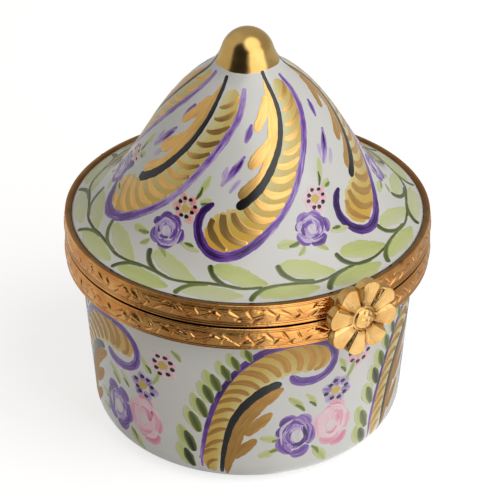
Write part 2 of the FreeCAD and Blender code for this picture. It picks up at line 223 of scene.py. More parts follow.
def piece(name, body, material, grids, closed_rows=False, marks=None, replaced=()):
    """A mesh from grids of points in mm, each (stack, row, column, 3), with named values at points."""
    starts = np.cumsum([0] + [grid[..., 0].size for grid in grids])
    faces = np.concatenate([grid_faces(grid.shape[:3], first, closed_rows)
                            for grid, first in zip(grids, starts)])
    points = np.concatenate([grid.reshape(-1, 3) for grid in grids]) * MM
    mesh = bpy.data.meshes.new(name)
    mesh.from_pydata(points, [], faces, shade_flat=False)
    for key, values in (marks or {}).items():
        flat = np.concatenate([np.ravel(value) for value in values])
        kind = "FLOAT" if flat.size == len(points) else "FLOAT_VECTOR"
        layer = mesh.attributes.new(key, kind, "POINT")
        layer.data.foreach_set("value" if kind == "FLOAT" else "vector", flat)
    shell = bmesh.new()
    shell.from_mesh(mesh)
    bmesh.ops.remove_doubles(shell, verts=shell.verts, dist=WELD)
    bmesh.ops.recalc_face_normals(shell, faces=shell.faces)
    shell.to_mesh(mesh)
    shell.free()
    mesh.materials.append(material)
    made = added(name, mesh)
    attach(made, body)
    if replaced:
        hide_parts(*replaced)
    print(name, "has", len(mesh.loops) - 2 * len(mesh.polygons), "triangles")
    return made


def lathe(profile, turns):
    """Profile of radius and height carried round the axis: (1, points, turns, 3)."""
    turn = np.linspace(0, 2 * np.pi, turns, endpoint=False)
    radius, height = profile.T[:, :, None]
    return np.stack([radius * np.sin(turn), -radius * np.cos(turn), height + 0 * turn], -1)[None]


print("grids weld points nearer than", WELD / MM, "mm")

# %% [markdown]
# ## The profiles of the porcelain
# Cup and lid are turned shapes. The tent has a round knob, a hollow neck and one long double
# curve to the rim, and its inside follows at the wall's thickness. Reaches come from the CAD
# nodes, and the same outer profiles later carry the painting.

# %% Porcelain profiles
CUP_CORNER, CUP_INNER_CORNER, CUP_TAPER, CUP_FLOOR = 4.4, 3.0, 2.3, 3.0
FOOT_RING, FOOT_RECESS, WALL = 13.9, 0.4, 2.6
KNOB_RADIUS, KNOB_SIDE, KNOB_SLOPE = 3.65, 0.67, 71.5
NECK_RADIUS, NECK_SLOPE, BRIM_SLOPE = 6.6, 36.5, 18.1
UPPER_SHARE, LOWER_SHARE = 0.38, 0.311
RIM_DROP = 0.15


def reach(node):
    """Largest radius, lowest height and highest height of a round CAD node, in mm."""
    low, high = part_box(node)
    return high.x / MM, low.z / MM, high.z / MM


def along_slope(slope):
    return np.array([np.cos(np.radians(slope)), -np.sin(np.radians(slope))])


def off_slope(slope):
    return np.array([np.sin(np.radians(slope)), np.cos(np.radians(slope))])


def bend(centre, radius, first, last, count):
    """Points on a round about a centre, where the surface slope goes from first to last."""
    slope = np.radians(np.linspace(first, last, count))
    return centre + radius * np.stack([np.sin(slope), np.cos(slope)], 1)


def tent_curve(start, end, count):
    """Cubic with four handles: it leaves start at the neck's slope and meets end at the brim's."""
    chord = np.hypot(*(end - start))
    first = start + along_slope(NECK_SLOPE) * chord * UPPER_SHARE
    last = end - along_slope(BRIM_SLOPE) * chord * LOWER_SHARE
    t = np.linspace(0, 1, count)[:, None]
    return ((1 - t) ** 3 * start + 3 * t * (1 - t) ** 2 * first
            + 3 * t ** 2 * (1 - t) * last + t ** 3 * end)


brim, lid_bottom, lid_top = reach("lid_shell")
lip, cup_bottom, cup_top = reach("base_cup")
mouth = lip - WALL
_, upper_seam, upper_edge = reach("upper_bezel")
_, lower_edge, lower_seam = reach("lower_bezel")

knob = np.array([0, lid_top - KNOB_RADIUS])
knob_end = knob + off_slope(KNOB_SLOPE) * KNOB_RADIUS
neck_start = knob_end + along_slope(KNOB_SLOPE) * KNOB_SIDE
neck_centre = neck_start + off_slope(KNOB_SLOPE) * NECK_RADIUS
tent_start = neck_centre - off_slope(NECK_SLOPE) * NECK_RADIUS
tent_rim = np.array([brim, upper_edge - RIM_DROP])
lid_outside = np.concatenate([
    bend(knob, KNOB_RADIUS, 0, KNOB_SLOPE, 28),
    bend(neck_centre, -NECK_RADIUS, KNOB_SLOPE, NECK_SLOPE, 24),
    tent_curve(tent_start, tent_rim, 110)[1:],
])
hollow = tent_start - off_slope(NECK_SLOPE) * WALL
vault = hollow[0] / off_slope(NECK_SLOPE)[0]
lid_inside = np.concatenate([
    bend(hollow - off_slope(NECK_SLOPE) * vault, vault, 0, NECK_SLOPE, 16)[:-1],
    tent_curve(hollow, tent_rim - off_slope(BRIM_SLOPE) * WALL, 60),
])
lid_inside = lid_inside[lid_inside[:, 0] < mouth]

foot = lip - CUP_TAPER
lean = np.degrees(np.arctan(CUP_TAPER / (cup_top - cup_bottom)))
wall_slope = 90 + lean
corner_centre = np.array([foot - CUP_CORNER * np.tan(np.radians(45 - lean / 2)), CUP_CORNER])
cup_outside = np.concatenate([
    np.linspace([lip, cup_top], corner_centre + off_slope(wall_slope) * CUP_CORNER, 40)[:-1],
    bend(corner_centre, CUP_CORNER, wall_slope, 180, 14),
])
print("lid profile", len(lid_outside), "points; cup profile", len(cup_outside), "points; lean",
      round(lean, 2))

# %% [markdown]
# ## Glazed porcelain
# Hard white porcelain under a clear glaze is never one even grey: the glaze pools a little, and
# that shows as slow changes in its gloss. The knob's gilding is burnt onto the same glaze, so it
# is part of this finish, cut off at a height that wanders slightly as a hand-held brush does.

# %% Porcelain
GILT_HEIGHT, GILT_WAVER, GILT_EDGE = 55.75, 0.7, 0.04
PORCELAIN_TURNS = 360
GLAZE_COOL, GLAZE_WARM = tint(222, 223, 220), tint(225, 222, 216)
GILDING, GILDING_DEEP = tint(216, 180, 110), tint(200, 160, 90)


def glaze(wire):
    """White glaze: noise drifts the white and the gloss, and a fine bump ripples the reflections."""
    drift = wire.noise(55)
    return {
        "Base Color": drift.mix(GLAZE_COOL, GLAZE_WARM),
        "Roughness": 0.09 + 0.05 * drift,
        "Normal": wire.bump(wire.noise(260, 1), 0.25, 0.00002),
        "IOR": 1.5,
    }


def gilded_glaze(wire):
    """The same glaze, with burnished gold above a wavering height."""
    made = glaze(wire)
    height = wire.node("SeparateXYZ", {0: wire.place()}, 2)
    waver = wire.noise(240) - 0.5
    gold = (height + GILT_WAVER * MM * waver).eased((GILT_HEIGHT - GILT_EDGE) * MM,
                                                    (GILT_HEIGHT + GILT_EDGE) * MM)
    wear = wire.noise(300, 2)
    made["Base Color"] = gold.mix(made["Base Color"], wear.eased(0.3, 0.7).mix(GILDING_DEEP, GILDING))
    made["Roughness"] = made["Roughness"] + gold * (0.03 + 0.1 * wear)
    made["Metallic"] = gold
    return made


inner_corner = np.array([0, CUP_FLOOR + CUP_INNER_CORNER])
inner_corner[0] = (foot + CUP_TAPER * CUP_FLOOR / cup_top - WALL
                   - CUP_INNER_CORNER * np.tan(np.radians(45 - lean / 2)))
cup_profile = np.concatenate([
    [[0, CUP_FLOOR], [inner_corner[0] / 2, CUP_FLOOR]],
    bend(inner_corner, -CUP_INNER_CORNER, 0, lean - 90, 14),
    [[mouth, cup_top]],
    cup_outside,
    [[FOOT_RING, cup_bottom], [FOOT_RING, FOOT_RECESS], [0, FOOT_RECESS]],
])
lid_profile = np.concatenate([
    lid_outside,
    [[brim, lid_bottom], [mouth, lid_bottom]],
    lid_inside[::-1],
])
piece("painted_cup", "base", finish("glaze", glaze),
      [lathe(cup_profile, PORCELAIN_TURNS)], replaced=["base_cup"])
piece("painted_lid", "lid", finish("gilded_glaze", gilded_glaze),
      [lathe(lid_profile, PORCELAIN_TURNS)], replaced=["lid_shell"])

# %% [markdown]
# ## Engraved bezels
# Each bezel is a turned ring with a plain bead at the seam, a crowned field and a fine bead at its
# far edge. The field is engraved: small leaf cuts lie along a fine running stem, between lines
# that the graver left, and old gilding stays dark in the cuts. A bump would flatten at the edge of
# the ring, so the cuts are in the mesh, and their depth is kept at each point to colour the gilding.

# %% Gilt brass
FINE_RELIEF, FILED_RELIEF, RELIEF_DEPTH = 0.6, 0.8, 0.00006
GRIMED_AND_SHADED = FILED = True
MOUNT_TONES = tint(230, 172, 100), tint(208, 142, 74), tint(44, 22, 8)


def streaks(wire, along, across):
    """Noise drawn out along a stroke or a file mark: it changes little along it and much across it."""
    line = wire.mark("grain", "Vector")
    drawn_out = wire.node("VectorMath", {0: line, 1: (along, across, 1.0)}, operation="MULTIPLY")
    return wire.noise(1.0, 3, drawn_out)


def gilt(wire, tones, gloss, grimed_and_shaded=False, filed=False):
    """Gilt brass with slow wear, darkened by file or graver lines and by a mark of grime and painted
    shade.
    """
    bright, middle, dark = tones
    cloud = wire.noise(330, 2)
    gold = cloud.eased(0.3, 0.75).mix(middle, bright)
    relief, strength = wire.noise(1300, 3), FINE_RELIEF
    if grimed_and_shaded:
        # The mark holds grime in engraved cuts, darker bezel grooves and edges, and painted shade on the
        # clasp.
        gold = wire.mark("soil").eased(0.15, 0.95).mix(gold, dark)
    if filed:
        marks = streaks(wire, 0.9, 2.6)
        gold = marks.eased(0.62, 0.85).mix(gold, dark)
        relief, strength = relief + 1.6 * marks, FILED_RELIEF
    return {
        "Base Color": gold,
        "Roughness": gloss + 0.1 * cloud,
        "Metallic": 1.0,
        "Normal": wire.bump(relief, strength, RELIEF_DEPTH),
    }


print("gilt brass ready")

# %% Bezels
BEZEL_TURNS, FIELD_ROWS, BEAD_ROWS = 1500, 26, 5
GROOVE_RADIUS, CHANNEL_RADIUS = 25.25, 24.55
SEAM_BEADS, EDGE_BEADS, SEAM_FACE = (0.0, 0.4, 0.65), (0.45, 0.2, 0.0), (0.9, 0.3)
BEAD_PROUD, FIELD_PROUD = 0.16, 0.25
FACE_ROUNDS = [(BEAD_PROUD, BEAD_ROWS), (BEAD_PROUD / 2, BEAD_ROWS), (FIELD_PROUD, FIELD_ROWS),
               (BEAD_PROUD / 2, BEAD_ROWS), (BEAD_PROUD / 2, BEAD_ROWS)]
LIP_THICKNESS, FLANGE, LIP_GAP = 0.5, 0.8, 0.05
MOTIFS, CUT_DEPTH, BORDER = 23, 0.25, 12
STEM_DEPTH, STEM_SWING, STEM_HALF = 0.5, 0.4, 0.14
GRAVER_SLIP, LINES_ALONG, LINES_ACROSS = (0.3, 0.1, 10), 0.4, 2.0
# The cuts keep grime; the grooves beside the beads and the lip's edges are darkened as well.
CUT_SOIL, GROOVE_DARKENING, GROOVE_NEAR, LIP_DARKENING = 0.5, 0.7, 0.02, (0.5, 0.75, 1)
WAY_ROUND = 2 * np.pi * GROOVE_RADIUS
RUN = np.linspace(0, WAY_ROUND, BEZEL_TURNS, endpoint=False)
bezel_height = upper_edge - upper_seam
LEAVES = [
    (0.06, -0.42, 1.0, 0.26, 34), (0.26, 0.44, 0.9, 0.25, -30), (0.38, -0.25, 0.75, 0.2, 52),
    (0.56, 0.40, 1.0, 0.26, -36), (0.76, -0.44, 0.9, 0.25, 28), (0.88, 0.22, 0.75, 0.2, -54),
    (0.18, 0.70, 0.6, 0.16, 12), (0.68, -0.72, 0.6, 0.16, -12),
]


def crown(low, high, proud, rows):
    """Radius and rise of a round face between two rises, proud of the groove at its middle."""
    rise = np.linspace(low, high, rows)
    half = (high - low) / 2
    ball = (half ** 2 + proud ** 2) / (2 * proud)
    swell = np.sqrt(ball ** 2 - (rise - low - half) ** 2) - (ball - proud)
    return np.stack([GROOVE_RADIUS + swell, rise], 1)


def engraving(y, seed):
    """Depth from 0 to 1 of leaf cuts at each turn and at each distance y from the field's middle.

    A cut is a vee: 1 less the square of the way along it, times 1 less the share of the way to its
    edge. It narrows to its point, and leans and shifts a little of its own.
    """
    graver = np.random.default_rng(seed)
    stem = np.abs(y - STEM_SWING * np.sin(MOTIFS * RUN / GROOVE_RADIUS)) / STEM_HALF
    depth = STEM_DEPTH * np.clip(1 - stem, 0, 1)
    for motif in range(MOTIFS):
        for share, height, length, width, slant in LEAVES:
            shift, lift, lean = graver.normal(0, 1, 3) * GRAVER_SLIP
            turn = np.radians(slant + lean)
            gap = RUN - (motif + share) * WAY_ROUND / MOTIFS - shift
            gap = (gap + WAY_ROUND / 2) % WAY_ROUND - WAY_ROUND / 2
            run = (gap * np.cos(turn) + (y - height - lift) * np.sin(turn)) / length
            side = ((y - height - lift) * np.cos(turn) - gap * np.sin(turn)) / width
            edge = 1 - np.abs(side) / np.clip(1 - 0.5 * run, 0.4, 1.6)
            depth = np.maximum(depth, np.clip(1 - run ** 2, 0, 1) * np.clip(edge, 0, 1))
    return depth


def bezel(name, body, seam, side, lip_radius, seed):
    """Ring whose closed section is the beaded face and the plain inside, with the field cut in."""
    rises = [*SEAM_BEADS, *(bezel_height - rise for rise in EDGE_BEADS)]
    field_low, field_high = rises[2:4]
    face = np.concatenate([crown(low, high, *swell)
                           for low, high, swell in zip(rises, rises[1:], FACE_ROUNDS)])
    inside = np.concatenate([
        [[lip_radius, bezel_height], [lip_radius, bezel_height - LIP_THICKNESS],
         [CHANNEL_RADIUS, bezel_height - LIP_THICKNESS], [CHANNEL_RADIUS, FLANGE]],
        bend(np.array([mouth + FLANGE / 2, FLANGE / 2]), FLANGE / 2, 0, -180, 9),
        [[GROOVE_RADIUS - inset, 0] for inset in SEAM_FACE],
    ])
    section = np.concatenate([face, inside])
    field = slice(2 * BEAD_ROWS, 2 * BEAD_ROWS + FIELD_ROWS)
    rise = section[field, 1:]
    share = (rise - field_low) / (field_high - field_low)
    border = np.clip(np.minimum(share, 1 - share) * BORDER, 0, 1)
    cut = np.zeros((len(section), BEZEL_TURNS))
    cut[field] = border * engraving(side * (rise - (field_low + field_high) / 2), seed)
    soil = CUT_SOIL * cut
    # Darker in the grooves beside the beads and at the lip's edges.
    soil[:len(face)] += GROOVE_DARKENING * (section[:len(face), :1] < GROOVE_RADIUS + GROOVE_NEAR)
    soil[len(face) - 1], soil[len(face)], soil[-1] = LIP_DARKENING
    grain = np.stack(np.broadcast_arrays(
        LINES_ALONG * RUN, LINES_ACROSS * np.clip(section[:, 1:], field_low, field_high), seed), -1)
    section[:, 1] = seam + side * section[:, 1]
    ring = lathe(section, BEZEL_TURNS)
    ring[..., :2] *= (1 - CUT_DEPTH * cut / section[:, :1])[None, ..., None]
    piece(name, body, bezel_gilt, [ring], True, {"soil": soil, "grain": grain},
          [name.replace("engraved_", "")])


bezel_gilt = finish("engraved_gilt", gilt, MOUNT_TONES, 0.1, GRIMED_AND_SHADED, FILED)
lower_lip = foot + CUP_TAPER * (lower_edge + LIP_THICKNESS) / cup_top + LIP_GAP
bezel("engraved_lower_bezel", "base", lower_seam, -1, lower_lip, 5)
bezel("engraved_upper_bezel", "lid", upper_seam, 1, brim + LIP_GAP, 8)

# %% [markdown]
# ## The flower clasp
# The thumb piece is a cast flower of eight petals, with a domed and dented button riveted through
# its middle. It could be eight copied petals, but real ones are cast in one, so the whole face is
# one polar grid: the outline swells and pinches with the angle, and a vee is cut between petals.

# %% Flower and button
PETALS, TWIST, NOTCH, SEAT = 8, 14.0, 1.0, 1.2
GROOVE_SHARE, SOFT_EDGE, DISH, TILT = 0.72, 0.14, 0.16, 0.16
FLOWER_RADIUS, SEAT_SHARE, BACK_EDGE = 5.5, 0.37, 0.1
GROOVE_WIDTH, GROOVE_FALL = (0.05, 0.115), (0.06, 0.105)
# Painted shade: darker down the vees between petals and round the heart beside the button.
FILE_STEP, VEE_SHADE, HEART_SHADE, SHARP_ANGLE = 6, 0.5, 0.45, 32
BUTTON_RADIUS, BUTTON_DOME, BUTTON_SINK = 1.95, 0.8, 0.1
# Painted shade in the button's collar groove and on its side, where it sits in its seat.
COLLAR_SHARE, COLLAR_WIDTH, COLLAR_DEPTH, COLLAR_SHADE = 0.8, 0.06, 0.1, (0.55, 0.8)
DENTS_ABOVE = 0.2
DENTS = [
    (-0.5, 0.4, 0.34, 0.2), (0.3, 0.0, 0.3, 0.17), (0.75, 0.6, 0.3, 0.14), (0.3, -0.9, 0.34, 0.17),
    (-0.45, -0.55, 0.3, 0.14), (0.1, 1.0, 0.34, 0.14), (0.95, -0.35, 0.3, 0.14),
]
CLASP_TONES = tint(228, 186, 120), tint(206, 160, 94), tint(70, 38, 14)
flower_low, flower_high = (np.array(corner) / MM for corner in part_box("clasp_flower"))
clasp_back, crest = -flower_high[1], flower_high[1] - flower_low[1]
clasp_height = (flower_low[2] + flower_high[2]) / 2
button_top = -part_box("clasp_rivet")[0].y / MM - clasp_back


def stood_up(across, upward, outward):
    """Points of a clasp part drawn flat, stood up to face forward at the front of the box."""
    return np.stack([across, -clasp_back - outward, clasp_height + upward], -1)[None]


def flower_grid(columns, rings):
    """Polar grid of the flower: out over the face, down the rim and back to the middle behind.

    The outline is a ring of arcs: c cos(a) + sqrt(r r - c c sin(a) sin(a)) for an angle a from the
    petal's middle, with c the arc's centre and r its radius. Across a petal, u runs from -1 to 1.
    Up to the groove's share it crosses the dished face, and beyond it goes down into a vee.
    """
    half = np.pi / PETALS
    flank = np.linspace(GROOVE_SHARE, 1, 4)
    across = np.linspace(-GROOVE_SHARE, GROOVE_SHARE, columns)[1:-1]
    u = np.concatenate([-flank[::-1], across, flank[:-1]])
    notch = FLOWER_RADIUS - NOTCH
    centre = (FLOWER_RADIUS ** 2 - notch ** 2) / (2 * (FLOWER_RADIUS - notch * np.cos(half)))
    share = np.concatenate([[0, 0.2, 0.36, 0.38], np.linspace(0.4, 1, rings)])[:, None]
    out = share * FLOWER_RADIUS
    groove_half = GROOVE_WIDTH[0] + GROOVE_WIDTH[1] * out
    groove = np.arcsin(np.clip(groove_half / np.maximum(out, 0.4), 0, 0.3))
    inside = np.clip(np.abs(u) / GROOVE_SHARE, 0, 1)
    beyond = np.clip((np.abs(u) - GROOVE_SHARE) / (1 - GROOVE_SHARE), 0, 1)
    off = np.sign(u) * (inside * (half - groove) + beyond * groove)
    outline = (centre * np.cos(off)
               + np.sqrt((FLOWER_RADIUS - centre) ** 2 - (centre * np.sin(off)) ** 2))
    radius = share * (outline - SOFT_EDGE)
    along = np.clip((share - SEAT_SHARE) / (1 - SEAT_SHARE), 0, 1)
    dish = DISH * (1 - inside ** 2) * np.sin(np.pi * along) * (beyond == 0)
    vee = beyond * (GROOVE_FALL[0] + GROOVE_FALL[1] * out)
    face = np.where(share > SEAT_SHARE, crest - dish - vee, SEAT)
    rim, edge, back = outline[-1:], face[-1:], 0 * outline[-1:]
    radius = np.concatenate([radius, rim - SOFT_EDGE * 0.3, rim, rim, rim - BACK_EDGE, back])
    height = np.concatenate([face, edge - 0.04, edge - SOFT_EDGE, back + BACK_EDGE, back, back])
    off = np.concatenate([off, *[off[-1:]] * 5])
    middles = np.radians(TWIST) + 2 * half * np.arange(PETALS)
    turn = (middles[None, :, None] + off[:, None]).reshape(len(off), -1)
    caster = np.random.default_rng(3)
    tip, roll = caster.uniform(0, TILT, (2, PETALS, 1))
    slope = -tip * (radius[:, None] / FLOWER_RADIUS) - roll * (off / half + 1)[:, None] / 2
    height = height[:, None] + slope * np.clip((height - SEAT)[:, None] / (crest - SEAT), 0, 1)
    height = height.reshape(len(off), -1)
    radius = np.tile(radius, (1, PETALS))
    grain = np.stack([radius, FILE_STEP * turn, 0 * turn], -1)
    # Painted shade: the gilt darkens down the vees between petals and in a ring round the heart by the
    # button.
    inner = np.exp(-((radius / FLOWER_RADIUS - 0.4) / 0.1) ** 2)
    vees = np.tile(np.broadcast_to(beyond, off.shape), (1, PETALS))
    soil = vees ** 3 * VEE_SHADE + HEART_SHADE * inner
    return stood_up(radius * np.sin(turn), radius * np.cos(turn), height), grain, soil


def button_grid(spokes):
    """Turned button: a dome of a ball with a collar, hammer-dented, painted shade at its collar and
    side.
    """
    share = np.linspace(0, 1, 30)
    ball = (BUTTON_RADIUS ** 2 + BUTTON_DOME ** 2) / (2 * BUTTON_DOME)
    ring = np.exp(-((share - COLLAR_SHARE) / COLLAR_WIDTH) ** 2)
    ball_face = np.sqrt(ball ** 2 - (BUTTON_RADIUS * share) ** 2)
    dome = button_top - ball + ball_face - COLLAR_DEPTH * ring
    section = np.concatenate([np.stack([BUTTON_RADIUS * share, dome], 1),
                              [[BUTTON_RADIUS, SEAT - BUTTON_SINK], [0, SEAT - BUTTON_SINK]]])
    x, y, height = np.moveaxis(lathe(section, spokes)[0], -1, 0)
    dents = sum(deep * np.exp(-((x - a) ** 2 + (y + b) ** 2) / wide ** 2) for a, b, wide, deep in DENTS)
    # Painted shade: on_ring darkens the collar groove, on_side the button's side in its seat.
    on_ring, on_side = COLLAR_SHADE
    soil = np.concatenate([on_ring * ring, [on_side, on_side]])[:, None] + 0 * x
    return stood_up(x, -y, height - np.where(height > SEAT + DENTS_ABOVE, dents, 0)), soil


clasp_gilt = finish("clasp_gilt", gilt, CLASP_TONES, 0.2)
filed_gilt = finish("filed_gilt", gilt, CLASP_TONES, 0.16, GRIMED_AND_SHADED, FILED)
polished_gilt = finish("polished_gilt", gilt, CLASP_TONES, 0.04, GRIMED_AND_SHADED)
flower_points, flower_grain, flower_shade = flower_grid(columns=13, rings=18)
flower = piece("petalled_flower", "lid", filed_gilt, [flower_points],
               marks={"grain": flower_grain, "soil": flower_shade}, replaced=["clasp_flower"])
flower.data.set_sharp_from_angle(angle=np.radians(SHARP_ANGLE))
button_points, button_shade = button_grid(spokes=72)
piece("domed_button", "lid", polished_gilt, [button_points],
      marks={"soil": button_shade}, replaced=["clasp_rivet"])

# %% [markdown]
# ## Hinge, catch and cement
# The other mounts keep their CAD shapes, which are already those of the real ones, and only get a
# finish: plain gilt brass, and a grey plaster for the cement hidden inside the bezels.

# %% Finishes of the CAD mounts
plain_gilt = finish("plain_gilt", gilt, MOUNT_TONES, 0.2)
cement = finish("cement", lambda wire: {
    "Base Color": wire.noise(900, 4).mix(tint(176, 170, 158), tint(206, 200, 188)),
    "Roughness": 0.85,
    "Normal": wire.bump(wire.noise(2400, 3), 0.4, 0.00008),
})
MOUNTS = {
    plain_gilt: ["base_hinge_bearer", "base_knuckles", "hinge_pin", "catch_stud", "lid_hinge_bearer",
                 "lid_knuckles", "clasp_tongue"],
    clasp_gilt: ["clasp_bracket"],
    cement: ["lower_cement", "upper_cement"],
}
for material, nodes in MOUNTS.items():
    for node in nodes:
        for material_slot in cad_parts[node].material_slots:
            material_slot.material = material
    print(material.name, "on", ", ".join(nodes))

# %% [markdown]
# ## A brush stroke as a mesh
# The painting is overglaze enamel: thin paint that stands a few hundredths of a millimetre proud.
# An image texture isn't used here, so every stroke is a real sliver of paint. A few points with a
# half width and a load of paint are joined by a smooth curve, and a flat lens is carried along it
# on the porcelain, with its edges just under the glaze. A stroke's load fades at its edges, and
# each stroke gets the small slip of a hand.

# %% Brush strokes
SINK, ORDER_STEP, LENS_POWER = 0.004, 0.0004, 20
SWAYS = ((0.05, 2.1), (0.04, 4.7))
MM_PER_DEGREE = 0.35
SLIP, WIDTH_SLIP = np.array([0.35, 0.08, 0.0, 0.05]), 0.05


class Skin:
    """Outer face of a porcelain body, unrolled: angle round it and way along its profile, in mm."""

    def __init__(self, body, profile, start, up):
        self.body = body
        self.up = up
        self.profile = profile
        self.way = np.concatenate([[0], np.cumsum(np.hypot(*np.diff(profile, axis=0).T))]) - start
        step = np.gradient(profile, self.way, axis=0)
        self.out = up * np.stack([step[:, 1], -step[:, 0]], 1)

    def radius(self, way):
        return np.interp(way, self.way, self.profile[:, 0])

    def points(self, angle, way, lift):
        """Points at an angle and a way, lifted off the face along its normal."""
        radius, height = (np.interp(way, self.way, self.profile[:, k])
                          + lift * np.interp(way, self.way, self.out[:, k]) for k in (0, 1))
        turn = np.radians(angle)
        return np.stack([radius * np.sin(turn), -radius * np.cos(turn), height], -1)


lid_skin = Skin("lid", lid_outside[::-1], 0, 1)
cup_skin = Skin("base", cup_outside, (cup_top - lower_edge) / np.cos(np.radians(lean)), -1)


def drawn(rows, count):
    """Smooth curve through rows of angle, way, half width and load, sampled closely at its ends.

    Each span is a cubic (Hermite) whose slopes at its ends are the slopes between the neighbours.
    """
    rows = np.asarray(rows, float)
    step = np.hypot(np.diff(rows[:, 0]) * MM_PER_DEGREE, np.diff(rows[:, 1]))
    at = np.concatenate([[0], np.cumsum(step)])
    slope = np.gradient(rows, at, axis=0)
    where = at[-1] * (1 - np.cos(np.linspace(0, np.pi, count))) / 2
    span = np.clip(np.searchsorted(at, where, "right") - 1, 0, len(at) - 2)
    width = (at[span + 1] - at[span])[:, None]
    t = (where - at[span])[:, None] / width
    return ((1 + 2 * t) * (1 - t) ** 2 * rows[span] + t * (1 - t) ** 2 * width * slope[span]
            + t ** 2 * (3 - 2 * t) * rows[span + 1] + t ** 2 * (t - 1) * width * slope[span + 1])


pots = {}
hand = np.random.default_rng(11)


def travel(skin, angle, way):
    """Radius, shares of each step that go round and along the profile, and way gone, for curves."""
    radius = skin.radius(way)
    run = np.gradient(np.radians(angle), axis=-1) * radius
    rise = np.gradient(way, axis=-1)
    length = np.hypot(run, rise)
    return radius, run / length, rise / length, np.cumsum(length, axis=-1) - length[..., :1]


def slipped(strokes, place):
    """Strokes moved to a place, a turn and a slide, each with a small slip as by a hand."""
    moved = np.array(strokes, float)
    moved = moved + hand.normal(0, 1, (len(moved), 1, 4)) * SLIP
    moved[..., :2] += (place[0] + VIEW_ANGLE, place[1])
    moved[..., 2] *= hand.normal(1, WIDTH_SLIP, (len(moved), 1))
    return moved


def paint(skin, place, pot, strokes, lift, across=7, fade=0.35, skew=0.0):
    """Carries a flat lens along strokes (strokes, samples, 4) at a place, and keeps it in a pot.

    Across the stroke, v runs from -1 to 1: the top stands lift high and drops as a high power of v,
    the underside lies below the glaze, and both ends are rounded by the half width there.
    """
    angle, way, half, load = np.moveaxis(slipped(strokes, place), -1, 0)
    radius, run, rise, gone = travel(skin, angle, way)
    left = gone[:, -1:] - gone
    sway = hand.uniform(0, 2 * np.pi, (2, len(angle), 1))
    waver = sum(size * np.sin(pace * gone + start) for (size, pace), start in zip(SWAYS, sway))
    half = np.maximum(half, 0) * (1 + waver)
    for distance, blunt in ((gone, half[:, :1]), (left, half[:, -1:])):
        half = half * np.sqrt(1 - (1 - np.clip(distance / np.maximum(blunt, 1e-6), 0, 1)) ** 2)
    top = np.sin(np.linspace(-np.pi / 2, np.pi / 2, across))
    v = np.concatenate([top, top[-2:0:-1]])
    high = np.concatenate([np.ones(across), np.zeros(across - 2)])
    order = np.arange(len(angle))[:, None, None] * ORDER_STEP
    lens = high * ((lift + order + SINK) * (1 - v ** LENS_POWER)) - SINK - 0.5 * SINK * (1 - high)
    lens = lens * (half > 0)[..., None] - SINK * (half <= 0)[..., None]
    offset = half[..., None] * v
    points = skin.points(angle[..., None] - np.degrees(rise / radius)[..., None] * offset,
                         way[..., None] + run[..., None] * offset, lens)
    tone = load[..., None] * (1 - fade * v ** 2) + skew * v
    seed = hand.uniform(0, 90, (len(angle), 1, 1))
    grain = np.stack(np.broadcast_arrays(gone[..., None] + seed, offset, seed), -1)
    pots.setdefault((skin, pot), []).append((points, tone, grain))


print("mm along the lid's face:", round(lid_skin.way[-1], 1))
print("mm along the cup's face:", round(cup_skin.way[-1], 1))

# %% [markdown]
# ## Plumes
# Six curled plumes hang down the tent and five rise up the cup. Each is a pale ochre wash with gold
# barbs, a violet outline that ends in a hook, a black vein, and a lobed gold leaf along the vein.
# One plume is drawn by a few points and repeated.

# %% Plumes
LID_PLACES = [(-63, -0.9), (0, 0), (69.5, -0.5), (127, 0.3), (184, -0.4), (241, 0.2)]
CUP_PLACES = [(-72, 1.4), (0, 0), (68.5, 0), (142, 0.5), (215, -0.3)]
WASH_LIFT, BARB_LIFT, LINE_LIFT = 0.008, 0.012, 0.016
EDGE_LIFT, GOLD_LIFT, TOP_LIFT = 0.018, 0.02, 0.026

LID_WASH = [
    (45, 30, .5, .5), (44.8, 28.6, 1.2, .5), (43.1, 26.4, 1.4, .5), (39.3, 24.3, 1.44, .5),
    (34.3, 22.1, 1.49, .5), (29, 19.9, 1.53, .5), (23.6, 17.9, 1.69, .52), (17.9, 15.8, 1.87, .55),
    (11.6, 13.9, 2.06, .6), (5.1, 12.2, 2.23, .65), (-1.1, 11, 2.51, .7), (-7.2, 10.1, 2.85, .75),
    (-12.5, 9.8, 2.6, .8), (-16.3, 9.75, 2, .8), (-19.6, 9.85, 1, .8),
]
LID_OUTLINE = [
    (58, 30.4, .3, .6), (57.2, 28.2, .42, .6), (53.8, 25.9, .46, .62), (48.2, 23.7, .5, .65),
    (41.6, 21.2, .5, .65), (35.2, 18.8, .5, .62), (29.2, 16.4, .48, .62), (23.2, 14.1, .46, .65),
    (16.6, 12, .5, .68), (9.2, 10, .58, .75), (1.5, 8.1, .66, .85), (-5, 6.95, .72, .85),
    (-11, 6.5, .75, .85), (-17, 7.1, .74, .9), (-21.2, 8.5, .72, .95), (-23.6, 10.3, .68, 1),
    (-22.6, 12, .62, 1), (-20, 13, .56, 1), (-17.2, 13.5, .3, 1),
]
LID_VEIN = [
    (27, 31.8, .26, .8), (29.4, 29.9, .29, .8), (30, 28, .31, .8), (29, 25.8, .34, .8),
    (26, 23.6, .38, .8), (22, 21.4, .42, .85), (17, 19.4, .47, .88), (11.5, 17.4, .54, .92),
    (5.5, 15.6, .61, .96), (0, 14.35, .66, 1), (-5.5, 13.3, .62, 1),
]
